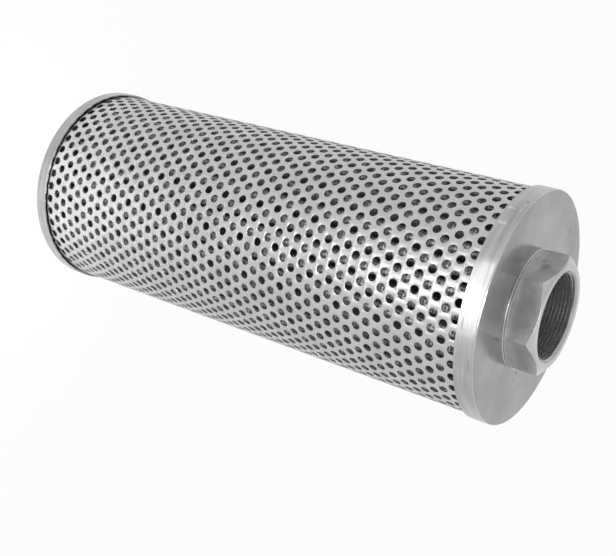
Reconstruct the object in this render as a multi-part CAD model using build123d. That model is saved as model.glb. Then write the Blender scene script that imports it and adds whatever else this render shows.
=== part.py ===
from build123d import *
import math
import os

# Return oil filter element: a pleated filter pack between a perforated core tube and a perforated
# outer tube, closed by two turned steel caps. The element stands on its blind cap, with its axis
# on +Z, and the threaded hexagon that screws onto the tank's return pipe is on top.
# Millimetres and degrees. The origin is the centre of the blind cap's outer face.

# Overall sizes
length_over_caps = 307.0
tube_od = 122.0
tube_wall = 1.0

# Caps: cups whose rims reach over the ends of the outer tube
rim_wall = 1.25
rim_clearance = 0.25
cap_edge_chamfer = 0.8
closed_plate = 3.0
closed_rim_height = 8.0
threaded_plate = 4.0
threaded_rim_height = 10.5

# Hexagon boss with its internal thread, and the spigots that centre the core tube
thread_d = 48.0
thread_pitch = 2.0
mouth_chamfer = 0.3
hex_wall = 3.5
hex_height = 15.0
hex_top_land = 2.9
hex_chamfer_angle = 30.0
collar_height = 1.4
collar_step = 0.15
collar_root = 0.8
spigot_wall = 6.0
spigot_length = 6.0
spigot_clearance = 0.2
closed_spigot_length = 4.0

# Holes of the outer tube. The real sheet has about 2,300 round holes of 4.75 mm. Here each
# six-sided opening stands for a group of eight, with the same share of open area, and the sheet
# is bent into flats that meet at the middle of each line of openings.
hole_d = 14.6
hole_pitch = 22.5
hole_row_step = 17.0
hole_margin = 1.6
seam_angle = 90.0
seam_width = 3.0
seam_height = 0.15

# Core tube, rolled and perforated in the same way
core_wall = 1.0
core_hole_d = 14.0
core_hole_pitch = 23.5
core_row_step = 66.0

# Pleated pack: two layers of wire cloth with the filter medium between them
mesh_thickness = 0.6
medium_thickness = 1.0
fold_gap = 0.3
leg_gap = 0.75
pack_core_gap = 0.3

# Strip that clamps the pack's two ends together, and the adhesive that holds the pleats' ends
clip_thickness = 0.5
clip_arm = 6.0
clip_clearance = 0.2
adhesive_depth = 5.0
adhesive_clearance = 0.1

# Sizes that follow from the ones above
tube_r = tube_od / 2
tube_around = round(2 * math.pi * tube_r / hole_pitch)
tube_flat_r = (tube_r - tube_wall) * math.cos(math.pi / (2 * tube_around))
rim_inner_r = tube_r + rim_clearance
cap_r = rim_inner_r + rim_wall

thread_r = thread_d / 2
minor_r = thread_r - 0.54127 * thread_pitch
mouth_r = thread_r + mouth_chamfer
hex_flat_r = thread_r + hex_wall
hex_corner_r = hex_flat_r / math.cos(math.radians(30))
collar_r = hex_corner_r + collar_step
spigot_r = minor_r + spigot_wall

core_flat_r = spigot_r + spigot_clearance
core_around = round(2 * math.pi * core_flat_r / core_hole_pitch)
core_r = core_flat_r / math.cos(math.pi / (2 * core_around)) + core_wall

face_z = length_over_caps
top_z = face_z + hex_height
tubes_bottom = closed_plate
tubes_top = length_over_caps - threaded_plate
pack_bottom = tubes_bottom + adhesive_depth
pack_top = tubes_top - adhesive_depth

pack_thickness = 2 * mesh_thickness + medium_thickness
pack_inner_r = core_r + pack_core_gap
pack_outer_r = tube_flat_r - clip_thickness - 2 * clip_clearance
pleat_room = 2 * pack_thickness + fold_gap + leg_gap
pleats = int(2 * math.pi * pack_inner_r / pleat_room)


def turned(points):
    """A solid turned about Z from a closed section of (radius, height) points."""
    return revolve(Plane.XZ * make_face(Polyline(points, close=True)), Axis.Z)


def threaded_end_cap():
    """Cup, low collar and hexagon in one piece, with the thread's hole through all of it."""
    cup = turned([
        (0, tubes_top - spigot_length),
        (spigot_r, tubes_top - spigot_length),
        (spigot_r, tubes_top),
        (rim_inner_r, tubes_top),
        (rim_inner_r, face_z - threaded_rim_height),
        (cap_r, face_z - threaded_rim_height),
        (cap_r, face_z - cap_edge_chamfer),
        (cap_r - cap_edge_chamfer, face_z),
        (collar_r + collar_root, face_z),
        (collar_r, face_z + collar_root),
        (collar_r, face_z + collar_height),
        (0, face_z + collar_height),
    ])
    land_r = mouth_r + hex_top_land
    drop = (hex_corner_r - land_r) * math.tan(math.radians(hex_chamfer_angle))
    chamfered_bar = turned([
        (0, face_z),
        (hex_corner_r, face_z),
        (hex_corner_r, top_z - drop),
        (land_r, top_z),
        (0, top_z),
    ])
    hexagon = Pos(0, 0, face_z) * extrude(RegularPolygon(hex_corner_r, 6), hex_height)
    mouth_depth = mouth_r - minor_r
    thread_hole = turned([
        (0, tubes_top - spigot_length),
        (minor_r, tubes_top - spigot_length),
        (minor_r, top_z - mouth_depth),
        (mouth_r, top_z),
        (0, top_z),
    ])
    return cup + (hexagon & chamfered_bar) - thread_hole


def closed_end_cap():
    """Blind cup with a low boss inside that centres the core tube."""
    return turned([
        (0, 0),
        (cap_r - cap_edge_chamfer, 0),
        (cap_r, cap_edge_chamfer),
        (cap_r, closed_rim_height),
        (rim_inner_r, closed_rim_height),
        (rim_inner_r, closed_plate),
        (spigot_r, closed_plate),
        (spigot_r, closed_plate + closed_spigot_length),
        (0, closed_plate + closed_spigot_length),
    ])


def perforated_tube(radius, wall, around, diameter, row_step, low, high):
    """Tube of flats with staggered rows of six-sided openings between two heights.

    radius is measured over the corners. Each opening is centred on a corner, the rows are spread
    about the middle, and no opening stands on the corner at the seam.
    """
    flats = 2 * around
    outside = RegularPolygon(radius, flats, rotation=seam_angle)
    inside = RegularPolygon(radius - wall, flats, rotation=seam_angle)
    tube = Pos(0, 0, tubes_bottom) * extrude(outside - inside, tubes_top - tubes_bottom)
    rows = int((high - low - diameter) / row_step) + 1
    first = (low + high - (rows - 1) * row_step) / 2
    cutter = Rot(0, 90, 0) * extrude(RegularPolygon(diameter / 2, 6), 2 * wall, both=True)
    cutters = []
    for row in range(rows):
        on_seam = row % 2
        for place in range(on_seam, around):
            angle = seam_angle + (place + 0.5 * (1 - on_seam)) * 360 / around
            cutters.append(Rot(0, 0, angle) * Pos(radius, 0, first + row * row_step) * cutter)
    return tube - cutters


def outer_perforated_tube():
    """Rolled perforated sheet, closed by one welded seam along its length."""
    low = closed_rim_height + hole_margin
    high = face_z - threaded_rim_height - hole_margin
    tube = perforated_tube(tube_r, tube_wall, tube_around, hole_d, hole_row_step, low, high)
    bead_depth = tube_wall / 2 + seam_height
    bead_section = Pos(tube_r + seam_height - bead_depth / 2, 0) * Rectangle(bead_depth, seam_width)
    bead = Pos(0, 0, tubes_bottom) * extrude(bead_section, tubes_top - tubes_bottom)
    return tube + Rot(0, 0, seam_angle) * bead


def inner_core_tube():
    """Perforated tube that keeps the pleats from falling in under pressure."""
    return perforated_tube(
        core_r, core_wall, core_around, core_hole_d, core_row_step, pack_bottom, pack_top
    )


def fold_line(depth):
    """Closed line of the pleats at one depth in the pack's thickness, counted from its inner side.

    Every outer and inner fold has two corners, so all lines stay one thickness apart.
    """
    outer_r = pack_outer_r - (pack_thickness - depth)
    outer_half = fold_gap / 2 + depth
    inner_r = pack_inner_r + depth
    inner_half = fold_gap / 2 + pack_thickness - depth
    corners = []
    for pleat in range(pleats):
        for radius, half, turn in ((outer_r, outer_half, pleat), (inner_r, inner_half, pleat + 0.5)):
            angle = 360 * turn / pleats
            for side in (-half, half):
                corners.append(Vector(radius, side, 0).rotate(Axis.Z, angle))
    return Polyline(corners, close=True)


def pleated_layer(inner_depth, outer_depth):
    """One layer of the pack between two depths, over the pack's full height."""
    section = make_face(fold_line(outer_depth)) - make_face(fold_line(inner_depth))
    return Pos(0, 0, pack_bottom) * extrude(section, pack_top - pack_bottom)


def pleat_seam_clip():
    """U-shaped strip pressed over the fold where the pack's two ends meet."""
    inside_half = fold_gap / 2 + pack_thickness + clip_clearance
    inside_r = pack_outer_r + clip_clearance
    back_r = inside_r + clip_thickness
    outside = Pos(back_r - clip_arm / 2, 0) * Rectangle(clip_arm, 2 * (inside_half + clip_thickness))
    inside = Pos(inside_r - clip_arm / 2, 0) * Rectangle(clip_arm, 2 * inside_half)
    return Pos(0, 0, pack_bottom) * extrude(outside - inside, pack_top - pack_bottom)


def adhesive_bed(bottom):
    """Ring of cured adhesive between the two tubes, on a cap's inner face."""
    section = Circle(tube_flat_r - adhesive_clearance) - Circle(core_r + adhesive_clearance)
    return Pos(0, 0, bottom) * extrude(section, adhesive_depth)


pieces = {
    "threaded_end_cap": threaded_end_cap(),
    "closed_end_cap": closed_end_cap(),
    "outer_perforated_tube": outer_perforated_tube(),
    "inner_core_tube": inner_core_tube(),
    "inner_support_mesh": pleated_layer(0, mesh_thickness),
    "filter_medium": pleated_layer(mesh_thickness, mesh_thickness + medium_thickness),
    "outer_support_mesh": pleated_layer(mesh_thickness + medium_thickness, pack_thickness),
    "pleat_seam_clip": pleat_seam_clip(),
    "closed_end_adhesive": adhesive_bed(tubes_bottom),
    "threaded_end_adhesive": adhesive_bed(tubes_top - adhesive_depth),
}

os.makedirs("parts", exist_ok=True)
for name, solid in pieces.items():
    export_step(solid, f"parts/{name}.step")
    print(name, round(solid.volume, 1), "mm3")
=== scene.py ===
import math

import bmesh
import bpy
import numpy as np
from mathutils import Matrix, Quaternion, Vector


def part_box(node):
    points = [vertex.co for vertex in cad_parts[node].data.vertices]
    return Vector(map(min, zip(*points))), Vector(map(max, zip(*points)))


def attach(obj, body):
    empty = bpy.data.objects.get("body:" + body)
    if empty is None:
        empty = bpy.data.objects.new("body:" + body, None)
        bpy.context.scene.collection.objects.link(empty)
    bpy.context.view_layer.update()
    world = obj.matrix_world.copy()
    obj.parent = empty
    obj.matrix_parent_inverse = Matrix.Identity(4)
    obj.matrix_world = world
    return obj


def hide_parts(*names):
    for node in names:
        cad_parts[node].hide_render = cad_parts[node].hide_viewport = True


# The looks of a hydraulic return oil filter that stands on its blind cap, hexagon up. The pieces
# come in the order in which the element is put together, from the core tube outwards.
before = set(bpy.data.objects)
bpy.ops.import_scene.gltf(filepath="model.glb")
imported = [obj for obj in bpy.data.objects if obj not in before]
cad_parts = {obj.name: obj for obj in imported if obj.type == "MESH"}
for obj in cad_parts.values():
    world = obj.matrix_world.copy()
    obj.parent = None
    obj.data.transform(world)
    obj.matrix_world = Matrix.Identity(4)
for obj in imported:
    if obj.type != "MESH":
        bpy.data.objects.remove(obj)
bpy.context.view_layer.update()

# Core tube. Stainless sheet 1 mm thick with round holes, rolled and butt welded. It stands on the
# blind cap, round the spigots, and carries the pleats when the oil presses them inwards.
mm = 0.001
core_foot, core_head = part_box("inner_core_tube")
core_r = 30.3 * mm
core_wall = 1.0 * mm
core_hole_d = 8.0 * mm
core_around = 16
core_row_step = 10.3 * mm
core_margin = 14.0 * mm
seam_angle = math.radians(90.3)
weld_width = 2.4 * mm
weld_height = 0.12 * mm
rim_draw = 0.12 * mm
rim_lean = 0.22


def make_object(name, points, faces):
    """Smooth-shaded object from an array of points and a list of face arrays (faces, corners)."""
    corners = np.concatenate([f.ravel() for f in faces])
    sizes = np.concatenate([np.full(len(f), f.shape[1]) for f in faces])
    mesh = bpy.data.meshes.new(name)
    mesh.vertices.add(len(points))
    mesh.vertices.foreach_set("co", points.astype(np.float32).ravel())
    mesh.loops.add(len(corners))
    mesh.loops.foreach_set("vertex_index", corners.astype(np.int32))
    mesh.polygons.add(len(sizes))
    mesh.polygons.foreach_set("loop_start", (np.cumsum(sizes) - sizes).astype(np.int32))
    mesh.update(calc_edges=True)
    mesh.shade_smooth()
    made = bpy.data.objects.new(name, mesh)
    bpy.context.scene.collection.objects.link(made)
    return made


def on_cylinder(radius, angle, height):
    """Points at (radius cos angle, radius sin angle, height)."""
    return np.stack(np.broadcast_arrays(radius * np.cos(angle), radius * np.sin(angle), height), -1)


def perforated_tube(name, radius, wall, hole_d, around, row_z, low, high):
    """Rolled tube with staggered rows of round holes, and a plain strip that holds the weld.

    The sheet is laid out flat, as angle by height. Lines of points at half the hole pitch run
    between the rows. A hole's cell is six of these points, joined to the hole's ring of sixteen
    at (angle + r cos t / R, z + r sin t). Both skins have this layout, at R and at R - wall, and
    walls join their rings. The outer ring is drawn in a little, as a punch leaves it, and the
    weld stands proud by h cos^2(pi x / w) at the distance x from its middle.
    """
    half = math.pi / around
    weld_x = np.linspace(-0.5, 0.5, 9) * weld_width
    columns = 2 * around + len(weld_x)
    column = np.concatenate([seam_angle + half * (0.5 + np.arange(2 * around)),
                             seam_angle + weld_x / radius])
    step = row_z[1] - row_z[0]
    line_z = np.concatenate([[low], row_z - step / 2, [row_z[-1] + step / 2, high]])
    lattice = np.arange(len(line_z) * columns).reshape(len(line_z), columns)

    row, place = np.indices((len(row_z), around - 1)).reshape(2, -1)
    centre = 2 * place + 1 + row % 2
    turn = np.linspace(0, 2 * math.pi, 17)[:16]
    ring_angle = column[centre, None] + hole_d / 2 / radius * np.cos(turn)
    ring_z = row_z[row, None] + hole_d / 2 * np.sin(turn)
    ring = lattice.size + np.arange(ring_z.size).reshape(ring_z.shape)
    following = np.roll(ring, -1, axis=1)

    sides = [(2, 1), (2, 0), (2, -1), (1, -1), (1, 0), (1, 1)]
    cell = np.stack([lattice[row + up, centre + across] for up, across in sides], -1)
    nearest = np.array([0, 0, 0, 1, 1, 2, 2, 2, 3, 3, 3, 4, 4, 5, 5, 5])
    change = np.flatnonzero(nearest != np.roll(nearest, 1))
    fans = np.stack([ring, cell[:, nearest], following], -1)
    links = np.stack([cell[:, nearest[change - 1]], cell[:, nearest[change]], ring[:, change]], -1)
    around_holes = np.concatenate([fans.reshape(-1, 3), links.reshape(-1, 3)])

    def plain(lines, starts):
        """Quads from each of some lines to the line above it, to the right of some columns."""
        lower, left = np.broadcast_arrays(np.array(lines)[:, None], np.array(starts))
        right = (left + 1) % columns
        return np.stack([lattice[lower, left], lattice[lower, right],
                         lattice[lower + 1, right], lattice[lower + 1, left]], -1).reshape(-1, 4)

    weld = np.arange(2 * around - 1, columns)
    even_rows = range(1, len(row_z) + 1, 2)
    odd_rows = range(2, len(row_z) + 1, 2)
    no_holes = np.concatenate([plain([0, len(line_z) - 2], range(columns)),
                               plain(even_rows, np.append(2 * around - 2, weld)),
                               plain(odd_rows, np.append(weld, 0))])

    angle = np.concatenate([np.tile(column, len(line_z)), ring_angle.ravel()])
    height = np.concatenate([np.repeat(line_z, columns), ring_z.ravel()])
    phase = np.concatenate([np.full(2 * around, math.pi / 2), math.pi * weld_x / weld_width])
    rise = np.concatenate([np.tile(weld_height * np.cos(phase) ** 2, len(line_z)),
                           np.full(ring_z.size, -rim_draw)])
    skin = len(angle)
    points = np.concatenate([on_cylinder(radius + rise, angle, height),
                             on_cylinder(radius - wall, angle, height)])
    hole_walls = np.stack([ring, following, following + skin, ring + skin], -1).reshape(-1, 4)
    foot, head = lattice[0], lattice[-1]
    foot_end = np.stack([np.roll(foot, -1), foot, foot + skin, np.roll(foot, -1) + skin], -1)
    head_end = np.stack([head, np.roll(head, -1), np.roll(head, -1) + skin, head + skin], -1)
    faces = [around_holes, no_holes, around_holes[:, ::-1] + skin, no_holes[:, ::-1] + skin,
             hole_walls, foot_end, head_end]
    made = make_object(name, points, faces)
    made.data.polygons.foreach_set("material_index", np.repeat(
        [0, 0, 0, 0, 1, 0, 0], [len(f) for f in faces]).astype(np.int32))

    out = on_cylinder(1, angle, 0)
    across = on_cylinder(1, angle + math.pi / 2, 0)
    slope = math.pi * weld_height / weld_width * np.sin(2 * phase)
    tilt = np.concatenate([np.tile(slope, len(line_z)), np.zeros(ring_z.size)])[:, None]
    spin = np.tile(turn, len(row))[:, None]
    into_hole = np.zeros((skin, 3))
    into_hole[lattice.size:] = -np.cos(spin) * across[lattice.size:] - np.sin(spin) * [0, 0, 1]
    outside = out + tilt * across + rim_lean * into_hole
    normals = [outside[around_holes], outside[no_holes], -out[around_holes[:, ::-1]],
               -out[no_holes[:, ::-1]], into_hole[hole_walls % skin],
               np.broadcast_to([0, 0, -1], (*foot_end.shape, 3)),
               np.broadcast_to([0, 0, 1], (*head_end.shape, 3))]
    made.data.normals_split_custom_set(np.concatenate([n.reshape(-1, 3) for n in normals]))
    return made


def put(tree, kind, inputs, **settings):
    """Output of a new node. An input given as a socket is linked, and any other is set."""
    node = tree.nodes.new("ShaderNode" + kind)
    for setting, value in settings.items():
        setattr(node, setting, value)
    for name, value in inputs.items():
        if isinstance(value, bpy.types.NodeSocket):
            tree.links.new(value, node.inputs[name])
        else:
            node.inputs[name].default_value = value
    return node.outputs[0]


def new_finish(name, **constants):
    """Material, its node tree and its Principled shader, with constants on the shader's sockets."""
    finish = bpy.data.materials.new(name)
    finish.use_nodes = True
    shader = finish.node_tree.nodes["Principled BSDF"]
    for socket, value in constants.items():
        shader.inputs[socket.replace("_", " ")].default_value = value
    return finish, finish.node_tree, shader


def object_place(tree, stretch=(1, 1, 1)):
    """Point on the piece in its own coordinates, in metres, scaled on each axis."""
    where = tree.nodes.new("ShaderNodeTexCoord").outputs["Object"]
    return put(tree, "Mapping", {"Vector": where, "Scale": stretch})


def mottle(tree, where, scale, low, high, detail=3.0):
    """Value that wanders from low to high, in patches about 1 / scale metres across."""
    noise = put(tree, "TexNoise", {"Vector": where, "Scale": scale, "Detail": detail})
    return put(tree, "MapRange", {"Value": noise, "From Min": 0.3, "From Max": 0.7,
                                  "To Min": low, "To Max": high})


def sheet_finish(name, rim_z):
    """Mill finish of cold rolled stainless sheet: satin, a little uneven and not quite flat.

    Just above a height, where it leaves the rim of the cap, it is darkened as painted shade in the gap
    between rim and sheet.
    """
    finish, tree, shader = new_finish(name, Metallic=1.0)
    where = object_place(tree)
    along_roll = object_place(tree, (1, 1, 0.08))
    parts = tree.nodes.new("ShaderNodeSeparateXYZ")
    tree.links.new(where, parts.inputs[0])
    # Painted shade: a dark band just above the rim height, where the sheet goes into the cap.
    rim_gap_shade = put(tree, "MapRange", {"Value": parts.outputs["Z"], "From Min": rim_z + 0.2 * mm,
                                   "From Max": rim_z + 1.0 * mm, "To Min": 0.12, "To Max": 1.0})
    tree.links.new(put(tree, "Math", {0: rim_gap_shade, 1: mottle(tree, where, 70, 0.54, 0.62)},
                       operation="MULTIPLY"), shader.inputs["Base Color"])
    tree.links.new(mottle(tree, where, 150, 0.22, 0.34), shader.inputs["Roughness"])
    grain = put(tree, "Bump", {"Height": mottle(tree, along_roll, 2600, 0, 1),
                               "Distance": 0.004 * mm, "Strength": 1.0})
    waves = put(tree, "Bump", {"Height": mottle(tree, where, 55, 0, 1, 2.0),
                               "Distance": 0.25 * mm, "Strength": 1.0, "Normal": grain})
    tree.links.new(waves, shader.inputs["Normal"])
    return finish


def from_axis(tree):
    """Distance from the element's axis, in metres."""
    length = tree.nodes.new("ShaderNodeVectorMath")
    length.operation = "LENGTH"
    tree.links.new(object_place(tree, (1, 1, 0)), length.inputs[0])
    return length.outputs["Value"]


def sheared_and_shaded_finish(name, radius, wall):
    """Walls of punched holes: burnished where the punch went in and torn further down. The tone darkens
    with depth, partly for the torn steel and partly as painted shade in the hole.
    """
    finish, tree, shader = new_finish(name, Metallic=0.7)
    where = object_place(tree)
    # Painted shade in part: the wall's tone falls from the skin inwards.
    depth = put(tree, "MapRange", {"Value": from_axis(tree), "From Min": radius - wall,
                                   "From Max": radius, "To Min": 0.10, "To Max": 0.42})
    uneven = mottle(tree, where, 900, 0.8, 1.2)
    tree.links.new(put(tree, "Math", {0: depth, 1: uneven}, operation="MULTIPLY"),
                   shader.inputs["Base Color"])
    tree.links.new(mottle(tree, where, 1300, 0.38, 0.55), shader.inputs["Roughness"])
    return finish


core_rows = int((core_head.z - core_foot.z - 2 * core_margin) / core_row_step) + 1
core_middle_z = (core_head.z + core_foot.z) / 2
core_row_z = core_middle_z + core_row_step * (np.arange(core_rows) - (core_rows - 1) / 2)
core_tube = perforated_tube("core_tube", core_r, core_wall, core_hole_d, core_around, core_row_z,
                            core_foot.z, core_head.z)
core_tube.data.materials.append(sheet_finish("core_sheet", core_foot.z))
core_tube.data.materials.append(sheared_and_shaded_finish("core_hole_walls", core_r, core_wall))
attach(core_tube, "root")
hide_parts("inner_core_tube")

# Pleated pack. A fleece between two layers of woven stainless wire, folded together into upright
# pleats and bent into a ring round the core tube. The three layers stay one on the other.
pack_foot, pack_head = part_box("outer_support_mesh")
pleats = 35
cloth_thickness = 0.6 * mm
fleece_thickness = 1.0 * mm
fold_gap = 0.3 * mm
pack_thickness = 2 * cloth_thickness + fleece_thickness
pack_outer_r = pack_head.x
pack_inner_r = 30.99 * mm
fold_lean = 0.9 * mm
fold_dip = 0.5 * mm
fold_bulge = 0.5
weave_pitch = 2.0 * mm


def fold_line(depth):
    """One closed line of pleats at a depth in the pack, counted from its inner side.

    Each outer fold is an arc of radius g/2 + d round the centre A, each inner fold an arc of
    radius g/2 + T - d round the centre B, and straight legs touch both: their normal n has
    n . (B - A) = g + T, the same for every depth, so the layers stay one thickness apart.
    """
    outer_arc = fold_gap / 2 + depth
    inner_arc = fold_gap / 2 + pack_thickness - depth
    a = pack_outer_r - pack_thickness - fold_gap / 2
    b = (pack_inner_r + pack_thickness + fold_gap / 2) * np.exp(1j * math.pi / pleats)
    n_angle = np.angle(b - a) - math.acos((fold_gap + pack_thickness) / abs(b - a))
    outer_turn = np.linspace(-n_angle, n_angle, 11)
    inner_turn = np.linspace(n_angle + math.pi, math.pi - n_angle + 2 * math.pi / pleats, 9)
    fold = a + outer_arc * np.exp(1j * outer_turn)
    valley = b + inner_arc * np.exp(1j * inner_turn)
    leg = fold[-1] + (valley[0] - fold[-1]) * np.array([0.33, 0.66])
    mirrored = leg[::-1].conj() * np.exp(2j * math.pi / pleats)
    pleat = np.concatenate([fold, leg, valley, mirrored])
    return (pleat * np.exp(2j * math.pi * np.arange(pleats)[:, None] / pleats)).ravel()


def pleated_layer(name, inner_depth, outer_depth):
    """Layer of the pack between two depths, with its weave laid along the folded line.

    The line at each height is turned and drawn in at the outer folds by sums of two sines of the
    height, with a phase of their own for each pleat, because hand-packed pleats lean a little.
    The outer folds also bulge, by an angle from the pleat's middle that grows with w^2 (3 - 2 w)
    as w goes from 0 to 1 near the fold, but not the one that the seam clip holds.
    """
    levels = np.linspace(pack_foot.z, pack_head.z, 17)
    lines = np.stack([fold_line(outer_depth), fold_line(inner_depth)])
    per_pleat = lines.shape[1] // pleats
    pleat = (np.arange(lines.shape[1]) + per_pleat // 4 - 5) // per_pleat % pleats
    draw = np.random.default_rng(11)
    phase = draw.uniform(0, 2 * math.pi, (4, pleats))
    loose = np.where(np.arange(pleats) == 0, 0.15, 1.0)
    rise = levels[:, None] / (pack_head.z - pack_foot.z) * 2 * math.pi
    sway = loose * (np.sin(1.3 * rise + phase[0]) + 0.5 * np.sin(3.1 * rise + phase[1])) / 1.5
    dip = loose * (2 + np.sin(1.7 * rise + phase[2]) + np.sin(4.3 * rise + phase[3])) / 4
    share = np.clip((abs(lines) - pack_inner_r) / (pack_outer_r - pack_inner_r), 0, 1)[:, None]
    radius = abs(lines)[:, None] - fold_dip * dip[:, pleat] * share ** 2
    middle = 2 * math.pi * pleat / pleats
    w = np.clip((share - 0.7) / 0.2, 0, 1)
    bulge = 1 + fold_bulge * w ** 2 * (3 - 2 * w) * (pleat != 0)
    angle = middle + np.angle(lines * np.exp(-1j * middle))[:, None] * bulge
    angle = angle + fold_lean / pack_outer_r * sway[:, pleat] * share
    points = on_cylinder(radius, angle, levels[:, None]).reshape(-1, 3)

    count = lines.shape[1]
    point = np.arange(len(points)).reshape(2, len(levels), count)
    following = np.roll(point, -1, axis=2)
    outer = np.stack([point[0, :-1], following[0, :-1], following[0, 1:], point[0, 1:]], -1)
    inner = np.stack([following[1, :-1], point[1, :-1], point[1, 1:], following[1, 1:]], -1)
    foot_end = np.stack([following[0, 0], point[0, 0], point[1, 0], following[1, 0]], -1)
    head_end = np.stack([point[0, -1], following[0, -1], following[1, -1], point[1, -1]], -1)
    faces = [outer.reshape(-1, 4), inner.reshape(-1, 4), foot_end, head_end]
    made = make_object(name, points, faces)

    edge = abs(np.roll(lines, -1, axis=1) - lines)
    along = np.concatenate([np.zeros((2, 1)), np.cumsum(edge, axis=1)], axis=1)
    start, end = along[:, :-1], along[:, 1:]
    low, high = levels[:-1, None], levels[1:, None]

    def weave_corners(across, up):
        """Corner coordinates of quads from four arrays each of distances across and up."""
        pairs = [np.stack(np.broadcast_arrays(x, z), -1) for x, z in zip(across, up)]
        return np.stack(pairs, -2).reshape(-1, 2)

    layer_foot, layer_head = levels[0], levels[-1]
    weave = [weave_corners([start[0], end[0], end[0], start[0]], [low, low, high, high]),
             weave_corners([end[1], start[1], start[1], end[1]], [low, low, high, high]),
             weave_corners([end[0], start[0], start[1], end[1]], [layer_foot] * 4),
             weave_corners([start[0], end[0], end[1], start[1]], [layer_head] * 4)]
    sheet = made.data.uv_layers.new(name="weave")
    sheet.uv.foreach_set("vector", np.concatenate(weave).astype(np.float32).ravel())
    return made


def wire_finish():
    """Plain weave of bright stainless wire. Each wire passes over and under by turns.

    With x and y in wire pitches, a wire's section is cos(pi x) inside its width, and it is raised
    by cos(pi x) cos(pi y), which changes sign from each crossing to the next. The tone follows
    that height, which paints shade into the gaps between the wires and on their low parts.
    """
    finish, tree, shader = new_finish("wire_cloth", Metallic=0.55)
    sheet = tree.nodes.new("ShaderNodeUVMap")
    sheet.uv_map = "weave"
    pitches = put(tree, "Mapping", {"Vector": sheet.outputs[0], "Scale": (1 / weave_pitch,) * 3})
    parts = tree.nodes.new("ShaderNodeSeparateXYZ")
    tree.links.new(pitches, parts.inputs[0])

    def calc(operation, a, b=0.0):
        """Result of one arithmetic step on two values."""
        return put(tree, "Math", {0: a, 1: b}, operation=operation)

    waves = [calc("COSINE", calc("MULTIPLY", parts.outputs[axis], math.pi)) for axis in (0, 1)]
    crossing = calc("MULTIPLY", calc("MULTIPLY", waves[0], waves[1]), 0.35)
    ridges = [calc("ABSOLUTE", wave) for wave in waves]
    warp = calc("ADD", ridges[0], crossing)
    weft = calc("SUBTRACT", ridges[1], crossing)
    height = calc("MAXIMUM", warp, weft)
    wire = put(tree, "MapRange", {"Value": height, "From Min": 0.72, "From Max": 0.98,
                                  "To Min": 0.0, "To Max": 1.0})
    tone = mottle(tree, object_place(tree), 220, 0.3, 0.46)
    # Painted shade: the tone falls with the weave's height, dark in the gaps and where a wire dips.
    tree.links.new(calc("ADD", calc("MULTIPLY", wire, tone), 0.22), shader.inputs["Base Color"])
    tree.links.new(put(tree, "MapRange", {"Value": wire, "To Min": 0.7, "To Max": 0.34}),
                   shader.inputs["Roughness"])
    bump = put(tree, "Bump", {"Height": height, "Distance": 0.15 * mm, "Strength": 1.0})
    tree.links.new(bump, shader.inputs["Normal"])
    return finish


def fleece_finish():
    """Pale matt fleece of pressed fibres."""
    finish, tree, shader = new_finish("fleece", Roughness=0.95)
    where = object_place(tree)
    tree.links.new(mottle(tree, where, 1800, 0.55, 0.72, 6.0), shader.inputs["Base Color"])
    bump = put(tree, "Bump", {"Height": mottle(tree, where, 2400, 0, 1, 6.0),
                              "Distance": 0.05 * mm, "Strength": 1.0})
    tree.links.new(bump, shader.inputs["Normal"])
    return finish


wire_cloth = wire_finish()
fleece = fleece_finish()
skin_gap = 0.02 * mm
medium_depth = cloth_thickness + fleece_thickness
for name, slot, node, finish, inner_depth, outer_depth in (
    ("inner_wire_cloth", "wire_cloth", "inner_support_mesh", wire_cloth, 0, cloth_thickness),
    ("pleated_fleece", "filter_medium", "filter_medium", fleece, cloth_thickness, medium_depth),
    ("outer_wire_cloth", "wire_cloth", "outer_support_mesh", wire_cloth, medium_depth, pack_thickness),
):
    layer = pleated_layer(name, inner_depth + skin_gap, outer_depth - skin_gap)
    layer.data.materials.append(finish)
    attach(layer, "root")
    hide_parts(node)

# Seam clip. A strip of stainless steel folded to a U and pressed over the fold where the two ends
# of the pack meet. Its solid has the true shape, so only its finish is set.
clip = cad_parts["pleat_seam_clip"]


def strip_finish():
    """Bright rolled strip with fine lines along its length."""
    finish, tree, shader = new_finish("rolled_strip", Metallic=1.0)
    along = object_place(tree, (1, 1, 0.05))
    tree.links.new(mottle(tree, along, 1500, 0.52, 0.64), shader.inputs["Base Color"])
    tree.links.new(mottle(tree, along, 900, 0.22, 0.38), shader.inputs["Roughness"])
    return finish


clip.data.materials.clear()
clip.data.materials.append(strip_finish())

# Outer tube. Stainless sheet 1 mm thick with 48 round holes in every row, each row set half a
# pitch round from the last. It is rolled, and butt welded along its plain strip on the far side.
tube_foot, tube_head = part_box("outer_perforated_tube")
tube_r = 61.0 * mm
tube_wall = 1.0 * mm
hole_d = 4.75 * mm
holes_around = 48
hole_rows = 48
row_step = 6.041 * mm
first_row_z = 10.66 * mm
blind_rim_z = 8.0 * mm

row_z = first_row_z + row_step * np.arange(hole_rows)
outer_tube = perforated_tube("outer_tube", tube_r, tube_wall, hole_d, holes_around, row_z,
                             tube_foot.z, tube_head.z)
outer_tube.data.materials.append(sheet_finish("outer_sheet", blind_rim_z))
outer_tube.data.materials.append(sheared_and_shaded_finish("outer_hole_walls", tube_r, tube_wall))
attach(outer_tube, "root")
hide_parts("outer_perforated_tube")

# Blind cap. A cup turned from bar, with a low boss inside that centres the core tube. Its rim
# reaches over the end of the outer tube with a narrow gap round it.
cap_foot, cap_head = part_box("closed_end_cap")
cap_r = cap_head.x
rim_wall = 1.25 * mm
blind_rim_wall = 0.85 * mm
cap_edge = 0.8 * mm
blind_plate = 3.0 * mm
boss_r = 28.92 * mm
small_edge = 0.15 * mm


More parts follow.
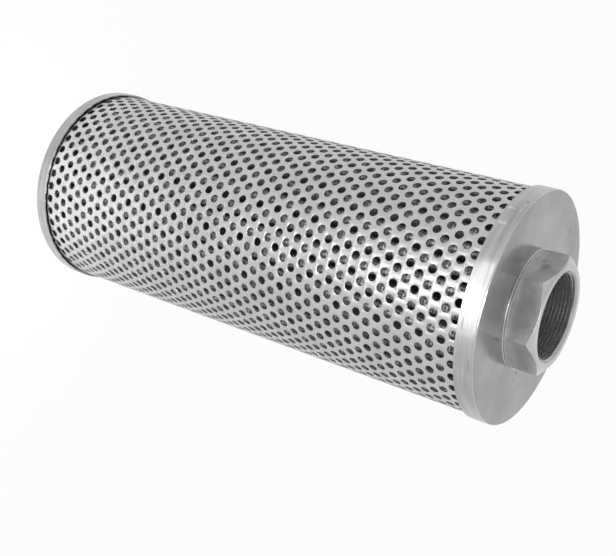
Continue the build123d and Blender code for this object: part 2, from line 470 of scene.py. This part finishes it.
def turned_object(name, corners, angles, bore=None):
    """Closed object of eased profiles carried round the axis, and the grid of a bore, if any.

    corners is (corners, angles, 3): the radius and height of each corner of the closed profile,
    and how far it is eased. A corner c becomes (1-s)^2 a + 2 s (1-s) c + s^2 b with s from 0 to 1,
    where a and b are on its two sides at that distance, or at less than half of the side. The
    points that meet at a seam or on the axis are merged.
    """
    place, ease = corners[..., :2], corners[..., 2:]

    def reach(toward):
        """Point on the way to the next or last corner."""
        way = toward - place
        length = np.maximum(np.linalg.norm(way, axis=-1, keepdims=True), 1e-9)
        return place + way / length * np.minimum(ease, 0.45 * length)

    s = np.linspace(0, 1, 5)[:, None, None, None]
    eased = (1 - s) ** 2 * reach(np.roll(place, 1, 0)) + 2 * s * (1 - s) * place
    eased = eased + s ** 2 * reach(np.roll(place, -1, 0))
    radius, height = np.moveaxis(eased.swapaxes(0, 1).reshape(-1, len(angles), 2), -1, 0)
    if bore is None:
        return grid_object(name, [(np.append(radius, radius[:1], 0),
                                   np.append(height, height[:1], 0), angles)])
    return grid_object(name, [(radius, height, angles), bore])


def grid_object(name, grids):
    """Closed object of grids of (radius, height, angle), each profile running anticlockwise."""
    points, faces, used = [], [], 0
    for radius, height, angles in grids:
        points.append(on_cylinder(radius, angles, height).reshape(-1, 3))
        index = used + np.arange(radius.size).reshape(radius.shape)
        used += radius.size
        faces.append(np.stack([index[:-1, :-1], index[:-1, 1:], index[1:, 1:], index[1:, :-1]],
                              -1).reshape(-1, 4))
    made = make_object(name, np.concatenate(points), faces)
    made.data.polygons.foreach_set("material_index", np.repeat(
        np.arange(len(faces)), [len(f) for f in faces]).astype(np.int32))
    welded = bmesh.new()
    welded.from_mesh(made.data)
    bmesh.ops.remove_doubles(welded, verts=welded.verts, dist=1e-7)
    welded.to_mesh(made.data)
    welded.free()
    made.data.set_sharp_from_angle(angle=math.radians(32))
    made.modifiers.new("flat_faces_stay_flat", "WEIGHTED_NORMAL").keep_sharp = True
    return made


def marked(tree, tone, marks):
    """A tone with marks: each multiplies it by 1 + change inside a soft-edged ellipsoid.

    A mark is a centre and three half sizes in millimetres, a turn round Z, and a change.
    """
    where = tree.nodes.new("ShaderNodeTexCoord").outputs["Object"]
    for centre, half_sizes, turn, change in marks:
        near = put(tree, "Mapping", {"Vector": where, "Location": [c * mm for c in centre],
                                     "Rotation": (0, 0, turn),
                                     "Scale": [h * mm for h in half_sizes]}, vector_type="TEXTURE")
        reach = tree.nodes.new("ShaderNodeVectorMath")
        reach.operation = "LENGTH"
        tree.links.new(near, reach.inputs[0])
        ragged = put(tree, "Math", {0: reach.outputs["Value"], 1: mottle(tree, where, 700, -0.2, 0.2)},
                     operation="ADD")
        factor = put(tree, "MapRange", {"Value": ragged, "From Min": 0.4, "From Max": 1.0,
                                        "To Min": 1 + change, "To Max": 1.0})
        tone = put(tree, "Math", {0: tone, 1: factor}, operation="MULTIPLY")
    return tone


def lathe_finish(name, low, high, groove_depth, marks=()):
    """Turned stainless steel: fine grooves round the axis, and a tone that wanders a little.

    The grooves are noise of the radius and the height alone, so they run round the axis. The
    gloss is drawn out across them, which gives turned faces their faint fans of light. Broader
    streaks of a slightly lighter or darker tone run the same way.
    """
    finish, tree, shader = new_finish(name, Metallic=1.0, Anisotropic=0.35)
    where = object_place(tree)
    round_axis = tree.nodes.new("ShaderNodeTangent")
    round_axis.direction_type = "RADIAL"
    round_axis.axis = "Z"
    tree.links.new(round_axis.outputs[0], shader.inputs["Tangent"])
    parts = tree.nodes.new("ShaderNodeSeparateXYZ")
    tree.links.new(where, parts.inputs[0])
    groove = put(tree, "CombineXYZ", {"X": from_axis(tree), "Y": parts.outputs["Z"]})
    streaks = mottle(tree, object_place(tree, (0.08, 0.08, 1)), 420, 0.86, 1.14)
    tone = put(tree, "Math", {0: mottle(tree, where, 38, low, high), 1: streaks},
               operation="MULTIPLY")
    tree.links.new(marked(tree, tone, marks), shader.inputs["Base Color"])
    tree.links.new(mottle(tree, where, 90, 0.16, 0.26), shader.inputs["Roughness"])
    bump = put(tree, "Bump", {"Height": mottle(tree, groove, 1400, 0, 1), "Distance": groove_depth,
                              "Strength": 1.0})
    tree.links.new(bump, shader.inputs["Normal"])
    return finish


blind_profile = np.array([
    (0, cap_foot.z, 0),
    (cap_r, cap_foot.z, cap_edge),
    (cap_r, cap_foot.z + blind_rim_z, small_edge),
    (cap_r - blind_rim_wall, cap_foot.z + blind_rim_z, small_edge),
    (cap_r - blind_rim_wall, cap_foot.z + blind_plate, 0),
    (boss_r, cap_foot.z + blind_plate, 0),
    (boss_r, cap_head.z, small_edge),
    (0, cap_head.z, 0),
])
full_turn = np.linspace(0, 2 * math.pi, 257)
blind_cap = turned_object("blind_cap", np.repeat(blind_profile[:, None], full_turn.size, 1), full_turn)
blind_cap.data.materials.append(lathe_finish("turned_blind_cap", 0.33, 0.43, 0.004 * mm))
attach(blind_cap, "root")
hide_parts("closed_end_cap")

# Threaded cap. Turned from one piece of bar: a plate with a rim over the tube's end, a low collar,
# a milled 55 mm hexagon with a 30 degree chamfer, and an M48x2 thread right through to the core.
port_foot, port_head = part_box("threaded_end_cap")
face_z = 307.0 * mm
rim_z = 296.5 * mm
plate_z = 303.0 * mm
spigot_r = 28.92 * mm
collar_r = 31.9 * mm
collar_root = 0.4 * mm
collar_z = face_z + 1.4 * mm
hex_flat_r = 27.5 * mm
hex_corner_ease = 0.9 * mm
hex_land_r = 27.2 * mm
chamfer_slope = math.tan(math.radians(30))
thread_r = 24.0 * mm
thread_pitch = 2.0 * mm
thread_depth = 0.54127 * thread_pitch
mouth_r = 24.3 * mm
steps_per_pitch = 8

sixth = math.pi / 3
corner_half = hex_corner_ease / 2 / (hex_flat_r / math.cos(sixth / 2))
near_corner = np.linspace(0, corner_half, 4)
half_side = np.concatenate([near_corner, np.linspace(corner_half, sixth / 2, 22)[1:]])
side = np.concatenate([half_side, sixth - half_side[-2:0:-1]])
angles = np.append((np.arange(6)[:, None] * sixth + side).ravel(), 2 * math.pi)

# The hexagon's radius is f / cos(angle from the nearest flat's middle), and near a corner the
# corner's own radius is eased off by a parabola that meets the flats at the edge of the easing.
from_flat = np.abs(angles % sixth - sixth / 2)
hex_r = hex_flat_r / np.cos(from_flat)
from_corner = np.clip(sixth / 2 - from_flat, 0, corner_half)
edge_r = hex_flat_r / math.cos(sixth / 2 - corner_half)
hex_r = np.where(from_corner < corner_half,
                 edge_r + (hex_r.max() - edge_r) * 0.55 * (1 - (from_corner / corner_half) ** 2), hex_r)
chamfer_z = port_head.z - (hex_r - hex_land_r) * chamfer_slope


def port_corner(radius, height, ease):
    """One corner of the profile at every angle."""
    return np.stack(np.broadcast_arrays(radius, height, ease, angles)[:3], -1)


port_profile = np.stack([
    port_corner(mouth_r, port_foot.z, 0),
    port_corner(spigot_r, port_foot.z, small_edge),
    port_corner(spigot_r, plate_z, 0),
    port_corner(cap_r - rim_wall, plate_z, 0),
    port_corner(cap_r - rim_wall, rim_z, small_edge),
    port_corner(cap_r, rim_z, small_edge),
    port_corner(cap_r, face_z, cap_edge),
    port_corner(collar_r, face_z, collar_root),
    port_corner(collar_r, collar_z, small_edge),
    port_corner(hex_r, collar_z, 0),
    port_corner(hex_r, chamfer_z, small_edge),
    port_corner(hex_land_r, port_head.z, small_edge),
    port_corner(mouth_r, port_head.z, 0),
])


def thread_grid():
    """Radius and height of the thread's rows, from the mouth down to the spigot's end.

    Rows follow the helix, z = row height + pitch * angle / 2 pi, held between the two ends. The
    radius is the major radius at a root, falls along 60 degree flanks to a flat crest, and is at
    least that of the 45 degree chamfers at the two ends.
    """
    step = thread_pitch / steps_per_pitch
    rows = np.arange((port_head.z - port_foot.z) / step, -steps_per_pitch - 1, -1)[:, None]
    height = port_foot.z + rows * step + thread_pitch * angles / (2 * math.pi)
    height = np.clip(height, port_foot.z, port_head.z)
    from_root = np.abs((rows / steps_per_pitch) % 1 - 0.5)
    share = np.clip((0.375 - from_root) / 0.3125, 0, 1)
    radius = thread_r - thread_depth * (1 - share) + 0 * angles
    to_end = np.minimum(port_head.z - height, height - port_foot.z)
    return np.maximum(radius, mouth_r - to_end), height, angles


def thread_finish():
    """Cut thread, dull and a little darker than the turned steel round it."""
    finish, tree, shader = new_finish("dull_cut_thread", Metallic=0.85)
    where = object_place(tree)
    tree.links.new(mottle(tree, where, 160, 0.34, 0.42), shader.inputs["Base Color"])
    tree.links.new(mottle(tree, where, 300, 0.24, 0.32), shader.inputs["Roughness"])
    return finish


# Marks on the threaded cap: on the band a thin lighter line across it, a dark dot and lighter and
# darker patches, oil spots and a scored line on the face, and on the hexagon a stain, a speck and
# painted shade over the flat that faces -Y.
band_marks = (
    # On the band, lighter and darker marks: a thin line across it, a dot and some patches.
    ((-46.9, -41.25, 299.2), (0.4, 0.4, 2.6), 0, 0.9),
    ((-46.65, -41.55, 304.0), (0.4, 0.4, 0.9), 0, 0.8),
    ((-51.4, -35.5, 304.2), (0.9, 0.9, 0.6), 0, -0.7),
    ((-39.0, -48.9, 300.0), (1.6, 1.6, 3.5), 0, 0.35),
    ((10.0, -61.7, 299.0), (9.0, 2.0, 0.7), 0, -0.3),
    ((30.0, -54.8, 304.5), (6.0, 6.0, 0.5), 0, -0.25),
)
face_marks = (
    ((-43.9, 27.0, 307.0), (2.8, 1.9, 1.0), 0.4, -0.4),
    ((-53.0, 10.0, 307.0), (1.1, 0.8, 1.0), 0, -0.45),
    ((16.2, -34.8, 307.0), (0.35, 9.4, 1.0), -0.084, -0.5),
    ((34.3, 4.8, 307.0), (1.7, 1.2, 1.0), 0.6, -0.5),
    ((38.0, 3.2, 307.0), (1.0, 0.8, 1.0), 0, -0.45),
    ((44.0, -6.0, 307.0), (0.7, 0.7, 1.0), 0, -0.4),
)
flat_marks_and_shade = (
    # Painted shade: this mark darkens the whole flat that faces -Y.
    ((0.0, -27.5, 314.0), (17.0, 3.0, 12.0), 0, -0.28),
    ((-23.4, -14.5, 314.0), (2.6, 4.0, 3.0), 0.5, -0.35),
    ((-25.5, -10.5, 311.0), (1.4, 1.8, 1.4), 0.5, -0.3),
    ((28.8, -5.1, 314.8), (1.0, 1.0, 1.3), 0, -0.5),
)


def milled_finish():
    """Milled flats: fine strokes of the cutter along the axis, in bright stainless steel."""
    finish, tree, shader = new_finish("milled_steel", Metallic=1.0)
    where = object_place(tree)
    strokes = object_place(tree, (1, 1, 0.12))
    tone = mottle(tree, where, 110, 0.40, 0.52)
    tree.links.new(marked(tree, tone, flat_marks_and_shade), shader.inputs["Base Color"])
    tree.links.new(mottle(tree, where, 260, 0.30, 0.42), shader.inputs["Roughness"])
    bump = put(tree, "Bump", {"Height": mottle(tree, strokes, 1500, 0, 1),
                              "Distance": 0.006 * mm, "Strength": 1.0})
    tree.links.new(bump, shader.inputs["Normal"])
    return finish


threaded_cap = turned_object("threaded_cap", port_profile, angles, thread_grid())
threaded_cap.data.materials.append(
    lathe_finish("turned_threaded_cap", 0.42, 0.53, 0.004 * mm, band_marks))
threaded_cap.data.materials.append(thread_finish())
threaded_cap.data.materials.append(milled_finish())
# The faced surface: the turned steel in a darker tone than the band, painted shade, with its marks.
threaded_cap.data.materials.append(lathe_finish("faced_steel_painted_shade", 0.26, 0.32, 0.004 * mm, face_marks))

# The six flats are the upright faces above the collar that are outside the port, and the faced
# surface is the level one between the collar and the cap's edge.
count = len(threaded_cap.data.polygons)
centre, facing, part = np.empty(3 * count), np.empty(3 * count), np.empty(count, np.int32)
threaded_cap.data.polygons.foreach_get("center", centre)
threaded_cap.data.polygons.foreach_get("normal", facing)
threaded_cap.data.polygons.foreach_get("material_index", part)
flats = (part == 0) & (centre[2::3] > collar_z) & (abs(facing[2::3]) < 0.3)
faced = (part == 0) & (abs(centre[2::3] - face_z) < small_edge) & (facing[2::3] > 0.9)
part = np.where(flats, 2, np.where(faced, 3, part))
threaded_cap.data.polygons.foreach_set("material_index", part.astype(np.int32))
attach(threaded_cap, "root")
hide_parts("threaded_end_cap")

# Adhesive. Two rings of cured resin, cast on the caps' inner faces round the ends of the pleats.
# Their solids have the true shape, so only their finish is set.


def resin_finish():
    """Dark cured resin, smooth but for a few shallow ripples where it set against the pleats."""
    finish, tree, shader = new_finish("cured_resin", Roughness=0.4)
    where = object_place(tree)
    tree.links.new(mottle(tree, where, 60, 0.035, 0.06), shader.inputs["Base Color"])
    bump = put(tree, "Bump", {"Height": mottle(tree, where, 260, 0, 1), "Distance": 0.1 * mm,
                              "Strength": 1.0})
    tree.links.new(bump, shader.inputs["Normal"])
    return finish


cured_resin = resin_finish()
for name in ("closed_end_adhesive", "threaded_end_adhesive"):
    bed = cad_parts[name].data.materials
    bed.clear()
    bed.append(cured_resin)

# Studio. A pale floor under the blind cap, white surroundings, and soft lamps. The floor and the
# surroundings are white to the camera, and the floor still takes the shadow.
floor_r = 3.0
floor_gap = 0.2 * mm


def floor_object():
    """Disc: rings of points at radius floor_r s^2, with s from 0 to 1, round the axis."""
    turn = np.linspace(0, 2 * math.pi, 97)
    radius = floor_r * np.linspace(0, 1, 9)[::-1, None] ** 2 + 0 * turn
    return grid_object("floor", [(radius, 0 * radius - floor_gap, turn)])


def floor_finish():
    """Pale matt floor that is plain white to the camera and in reflections, apart from shadow."""
    finish, tree, shader = new_finish("pale_floor", Roughness=0.9)
    shader.inputs["Base Color"].default_value = (0.85, 0.85, 0.85, 1)
    shader.inputs["Specular IOR Level"].default_value = 0.1
    glow = tree.nodes.new("ShaderNodeEmission")
    glow.inputs["Color"].default_value = (1, 1, 1, 1)
    path = tree.nodes.new("ShaderNodeLightPath")
    share = put(tree, "Math", {0: path.outputs["Is Camera Ray"], 1: 0.96}, operation="MULTIPLY")
    clear = put(tree, "Math", {0: path.outputs["Is Glossy Ray"],
                               1: path.outputs["Is Transmission Ray"]}, operation="MAXIMUM")
    shiny = put(tree, "Math", {0: clear, 1: 0.7}, operation="MULTIPLY")
    mix = tree.nodes.new("ShaderNodeMixShader")
    tree.links.new(put(tree, "Math", {0: share, 1: shiny}, operation="ADD"), mix.inputs[0])
    tree.links.new(shader.outputs[0], mix.inputs[1])
    tree.links.new(glow.outputs[0], mix.inputs[2])
    tree.links.new(mix.outputs[0], tree.nodes["Material Output"].inputs["Surface"])
    return finish


floor = floor_object()
floor.data.materials.append(floor_finish())

world = bpy.data.worlds.new("studio")
bpy.context.scene.world = world
world.use_nodes = True
sky = world.node_tree
path = sky.nodes.new("ShaderNodeLightPath")
backdrop = sky.nodes["Background"]
backdrop.inputs["Color"].default_value = (1, 1, 1, 1)
seen = put(sky, "Math", {0: path.outputs["Is Camera Ray"], 1: path.outputs["Is Glossy Ray"]},
           operation="MAXIMUM")
seen = put(sky, "Math", {0: seen, 1: path.outputs["Is Transmission Ray"]}, operation="MAXIMUM")
tone = put(sky, "MapRange", {"Value": seen, "To Min": 0.4, "To Max": 1.0})
sky.links.new(tone, backdrop.inputs["Strength"])


def lamp(name, place, aim, width, length, watts, spread=180):
    """Soft rectangular lamp at a place, turned to an aim, with its spread in degrees."""
    light = bpy.data.lights.new(name, "AREA")
    light.shape = "RECTANGLE"
    light.size = width
    light.size_y = length
    light.energy = watts
    light.spread = math.radians(spread)
    made = bpy.data.objects.new(name, light)
    made.location = place
    made.rotation_mode = "QUATERNION"
    made.rotation_quaternion = (Vector(aim) - Vector(place)).to_track_quat("-Z", "Y")
    made.visible_camera = False
    bpy.context.scene.collection.objects.link(made)


lamp("front_pool", (0.15, -0.8, 1.1), (0.05, -0.55, 0.0), 0.5, 0.5, 5)
lamp("base_pool", (0.04, -0.25, 1.2), (0.03, -0.1, 0.0), 0.1, 0.06, 0.16, 12)
lamp("low_strip", (0.04, -0.6, 0.045), (0.0, 0.0, 0.3), 0.26, 0.05, 0.16)
lamp("wide_strip", (0.0, -0.62, 0.05), (0.0, 0.0, 0.3), 0.8, 0.07, 0.28)

# Camera. It looks down on the element as the photograph does, rolled until the axis lies across
# the picture with the hexagon at the lower right.
camera_place = Vector((-0.03503, -0.48254, 0.47649))
camera_aim = Vector((0.01916, -0.00216, 0.17335))
camera_roll = math.radians(107.655)
picture_width = 616
focal_pixels = 976.87

camera_data = bpy.data.cameras.new("camera")
camera_data.sensor_width = 36.0
camera_data.lens = camera_data.sensor_width * focal_pixels / picture_width
camera = bpy.data.objects.new("camera", camera_data)
camera.location = camera_place
camera.rotation_mode = "QUATERNION"
camera.rotation_quaternion = ((camera_aim - camera_place).to_track_quat("-Z", "Y")
                              @ Quaternion((0, 0, 1), camera_roll))
bpy.context.scene.collection.objects.link(camera)
bpy.context.scene.camera = camera
bpy.context.scene.view_settings.view_transform = "Standard"
